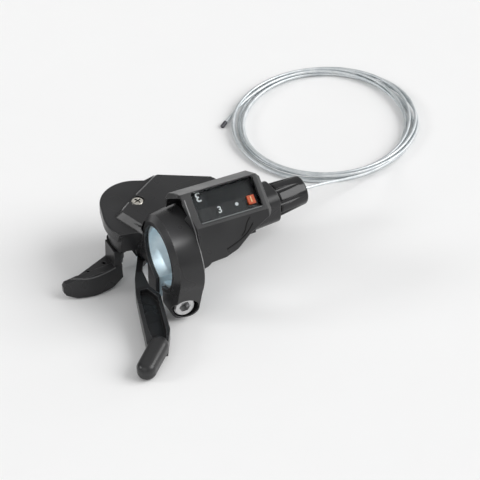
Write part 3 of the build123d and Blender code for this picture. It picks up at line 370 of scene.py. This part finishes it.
METALS = {
    "zinc_steel": dict(dark=(0.66, 0.80, 0.87), light=(0.78, 0.90, 0.95),
                       rough=0.50, grain=300.0, depth=0.004, edge=0.15, stretch=(1, 6, 6)),
    "plate_steel": dict(dark=(0.05, 0.055, 0.06), light=(0.08, 0.085, 0.09),
                        rough=0.45, grain=900.0, depth=0.01, edge=0.15),
    "bolt_steel": dict(dark=(0.58, 0.58, 0.59), light=(0.72, 0.72, 0.72),
                       rough=0.30, grain=2200.0, depth=0.01, edge=0.2),
    "screw_steel": dict(dark=(0.70, 0.67, 0.60), light=(0.84, 0.81, 0.74),
                        rough=0.28, grain=2200.0, depth=0.01, edge=0.15),
    "hard_steel": dict(dark=(0.34, 0.34, 0.35), light=(0.46, 0.46, 0.47),
                       rough=0.34, grain=900.0, depth=0.01, edge=0.1, stretch=(1, 1, 8)),
    "spring_steel": dict(dark=(0.26, 0.27, 0.30), light=(0.38, 0.39, 0.42),
                         rough=0.36, grain=2600.0, depth=0.01, edge=0.05),
    "nipple_metal": dict(dark=(0.46, 0.46, 0.46), light=(0.58, 0.58, 0.58),
                         rough=0.45, grain=2600.0, depth=0.02, edge=0.1),
    "tip_metal": dict(dark=(0.10, 0.10, 0.11), light=(0.17, 0.17, 0.18),
                      rough=0.45, grain=2600.0, depth=0.02, edge=0.1),
}
FINISHES = {name: plastic(name, **values) for name, values in PLASTICS.items()}
FINISHES.update({name: metal(name, **values) for name, values in METALS.items()})
FINISHES["clear_lens"] = clear_plastic()
FINISHES["dial_plastic"] = dial_finish()
FINISHES["cable_steel"] = wire_finish()

# The base plate is darker than the other plated pieces
for entry in frame["record"]["subparts"]:
    target = nodes[entry["node"]]
    target.data.materials.clear()
    finish = "plate_steel" if entry["node"] == "base_plate" else entry["material_slot"]
    target.data.materials.append(FINISHES[finish])


def new_piece(name, data, body, finish):
    """A new visible piece that rides a body."""
    made = bpy.data.objects.new(name, data)
    scene.collection.objects.link(made)
    data.materials.append(FINISHES[finish])
    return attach(made, body)


def new_tube(name, points, radius, sides, steps):
    """A round tube along a smooth curve that the points control."""
    curve = bpy.data.curves.new(name, "CURVE")
    curve.dimensions = "3D"
    curve.bevel_depth = radius * MM
    curve.bevel_resolution = sides
    curve.resolution_u = steps
    spline = curve.splines.new("NURBS")
    spline.points.add(len(points) - 1)
    for control, place in zip(spline.points, points):
        control.co = (*[c * MM for c in place], 1.0)
    spline.order_u = 3
    spline.use_endpoint_u = True
    return curve


def coil_points():
    """Loose turns: each goes round the bundle as the bundle goes round the coil, and the bundle fans out."""
    turns = math.floor((STRANDS - 1) + (END_ANGLE - START_ANGLE) / 360)
    span = 360.0 * turns + (END_ANGLE - START_ANGLE) % 360
    count = int(span / 360 * POINTS_PER_TURN)
    points = []
    for i in range(count + 1):
        turned = span * i / count
        angle = math.radians(START_ANGLE + turned)
        round_bundle = math.radians(BUNDLE_START - turned * (1 - 1 / STRANDS))
        fan = FAN + FAN_TWICE * math.cos(2 * angle + FAN_TWICE_FROM) + FAN_THRICE * math.cos(3 * angle)
        r = COIL_R + fan * BUNDLE_R * math.cos(round_bundle) + OVAL * math.cos(2 * angle + OVAL_FROM)
        z = COIL_Z + BUNDLE_R * math.sin(round_bundle)
        points.append((COIL_X + r * math.cos(angle), COIL_Y + r * math.sin(angle), z))
    return points


def inner_cable():
    """The cable from the barrel through its coil to the tip, in one curve."""
    curve = new_tube("inner_cable", LEAD + coil_points() + TAIL, CABLE_D / 2, sides=3, steps=6)
    cable = new_piece("inner_cable", curve, "shifter_body", "cable_steel")
    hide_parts("cable_lead", "cable_coil", "cable_tail")


inner_cable()

# Fine lines: seams on the front of the indicator housing, and beads with a painted highlight: a pale line at
# the ring's right edge, pale lines along the edge of the top cover and a paler ridge along the release lever
SEAM_R = 0.26
LIP_R = 0.22
RIDGE_R = 0.3
SEAM_LOW = [(15.9, -15.64, 8.1), (19.6, -15.2, 9.2), (23.0, -14.64, 10.6), (25.8, -13.85, 12.6),
            (27.4, -13.06, 14.6)]
SEAM_HIGH = [(22.3, -14.4, 11.2), (23.9, -13.9, 12.5), (24.4, -13.33, 13.9), (25.2, -12.7, 15.5),
             (26.6, -12.1, 17.0)]
RING_LIP = [(4.7, -2.2, 25.1), (4.6, -4.1, 23.7), (4.6, -6.7, 21.8), (4.9, -8.7, 19.4), (5.3, -10.5, 16.4),
            (5.3, -12.0, 13.2), (5.3, -13.8, 11.3), (5.3, -15.5, 8.7), (5.4, -16.9, 5.9), (5.5, -17.6, 3.1)]
COVER_EDGE_HIGH = [(11.0, 38.9, 4.7), (7.3, 36.8, 4.4), (3.9, 34.9, 4.0), (1.0, 33.3, 3.7)]
COVER_EDGE_LOW = [(-3.7, 29.7, 4.0), (-5.9, 27.8, 4.3), (-8.0, 25.8, 4.8)]
LEVER_RIDGE = [(-32.0, 20.7, -16.4), (-30.9, 20.0, -16.1), (-29.0, 18.4, -15.7), (-26.0, 17.6, -16.0),
               (-22.9, 17.3, -15.9), (-19.5, 17.5, -15.6), (-16.9, 17.9, -15.4), (-14.6, 18.4, -15.1)]


def make_line(name, points, radius, body, finish):
    """A thin bead, half sunk in the surface it follows."""
    curve = new_tube(name, points, radius, sides=2, steps=12)
    curve.use_fill_caps = True
    new_piece(name, curve, body, finish)


make_line("seam_low", SEAM_LOW, SEAM_R, "shifter_body", "seam_black")
make_line("seam_high", SEAM_HIGH, SEAM_R, "shifter_body", "seam_black")
make_line("ring_lip", RING_LIP, LIP_R, "shifter_body", "painted_highlight_pale")
make_line("cover_edge_high", COVER_EDGE_HIGH, RIDGE_R, "shifter_body", "painted_highlight_pale")
make_line("cover_edge_low", COVER_EDGE_LOW, RIDGE_R, "shifter_body", "painted_highlight_pale")
make_line("lever_ridge", LEVER_RIDGE, RIDGE_R, "release_lever", "painted_highlight_dark")

# Printed dial
WINDOW_FACE = Matrix.Translation(WINDOW * MM) @ Matrix.Rotation(WINDOW_TILT, 4, "X")


def dial_text(name, text, right, up, level, height, turn=0, body="shifter_body", finish="print_white"):
    """Numbers as thin raised print on the dial or the pointer."""
    curve = bpy.data.curves.new(name, "FONT")
    curve.body = text
    curve.size = height * MM / CAPITAL
    curve.align_x = "CENTER"
    curve.align_y = "CENTER"
    curve.extrude = INK / 2 * MM
    curve.offset = INK_SWELL * MM
    made = new_piece(name, curve, body, finish)
    made.matrix_world = (WINDOW_FACE @ Matrix.Translation(Vector((right, up, level + INK / 2)) * MM)
                         @ Matrix.Rotation(math.radians(turn), 4, "Z"))


dial_text("gear_three", "3", right=-2.96, up=-2.33, level=STRIP_TOP, height=2.5)
dial_text("gear_dot", "•", right=4.03, up=-2.2, level=STRIP_TOP, height=3.4)
dial_text("speeds", "3", right=-9.0, up=4.9, level=DIAL_TOP, height=3.6, turn=180)
dial_text("pointer_mark", "1", right=9.6, up=-2.1, level=POINTER_TOP, height=2.2,
          body="indicator_pointer", finish="print_yellow")


def make_floor():
    """A wide pale sheet under the part."""
    mesh = bpy.data.meshes.new("floor")
    signs = ((-1, -1), (1, -1), (1, 1), (-1, 1))
    corners = [(x * FLOOR_REACH * MM, y * FLOOR_REACH * MM, FLOOR_Z * MM) for x, y in signs]
    mesh.from_pydata(corners, [], [(0, 1, 2, 3)])
    floor = bpy.data.objects.new("floor", mesh)
    scene.collection.objects.link(floor)
    material, tree, surface = new_material("pale_paper", Roughness=1.0, Specular_IOR_Level=0.0)
    colour = between(tree, vary(tree, FLOOR_TINT_SCALE, 0.0, 1.0), FLOOR_DARK, FLOOR_PALE)
    tree.links.new(colour, surface.inputs["Base Color"])
    mesh.materials.append(material)


def make_world():
    """A pale studio, brighter on the part's right."""
    world = bpy.data.worlds.new("room")
    world.use_nodes = True
    scene.world = world
    tree = world.node_tree
    place = add(tree, "ShaderNodeTexCoord")
    toward = add(tree, "ShaderNodeVectorMath", operation="DOT_PRODUCT")
    toward.inputs[1].default_value = ROOM_BRIGHT
    tree.links.new(place.outputs["Generated"], toward.inputs[0])
    level = spread(tree, toward.outputs["Value"], ROOM_LOW_AT, ROOM_HIGH_AT, ROOM_LOW, ROOM_HIGH)
    tree.links.new(level, tree.nodes["Background"].inputs["Strength"])
    tree.nodes["Background"].inputs["Color"].default_value = (1, 1, 1, 1)


def make_sun(name, toward, softness, strength):
    """A soft sun that shines from the given direction."""
    data = bpy.data.lights.new(name, "SUN")
    data.angle = math.radians(softness)
    data.energy = strength
    lamp = bpy.data.objects.new(name, data)
    scene.collection.objects.link(lamp)
    lamp.rotation_euler = Vector(toward).to_track_quat("Z", "Y").to_euler()


def make_spot(name, place, aim):
    """A small lamp that reaches into the clamp's bore."""
    data = bpy.data.lights.new(name, "SPOT")
    data.spot_size = math.radians(BORE_SPREAD)
    data.spot_blend = 1.0
    data.shadow_soft_size = BORE_LAMP_R * MM
    data.energy = BORE_WATTS
    lamp = bpy.data.objects.new(name, data)
    scene.collection.objects.link(lamp)
    lamp.location = place * MM
    lamp.rotation_euler = (aim - place).to_track_quat("-Z", "Y").to_euler()


def make_camera():
    """The photo's view: from above and from the left of the front."""
    back = Vector((math.sin(VIEW_TURN) * math.cos(VIEW_LIFT), -math.cos(VIEW_TURN) * math.cos(VIEW_LIFT),
                   math.sin(VIEW_LIFT)))
    right = Vector((math.cos(VIEW_TURN), math.sin(VIEW_TURN), 0))
    up = back.cross(right)
    data = bpy.data.cameras.new("camera")
    data.sensor_width = SENSOR
    data.lens = LENS
    data.clip_start = CLIP_NEAR * MM
    data.clip_end = CLIP_FAR * MM
    camera = bpy.data.objects.new("camera", data)
    camera.location = (right * VIEW_RIGHT + up * VIEW_UP + back * VIEW_DISTANCE) * MM
    camera.rotation_euler = (-back).to_track_quat("-Z", "Y").to_euler()
    scene.collection.objects.link(camera)
    scene.camera = camera


make_floor()
make_world()
for name, values in SUNS.items():
    make_sun(name, **values)
make_spot("bore", BORE_LAMP, BORE)
make_camera()
scene.view_settings.view_transform = "Standard"
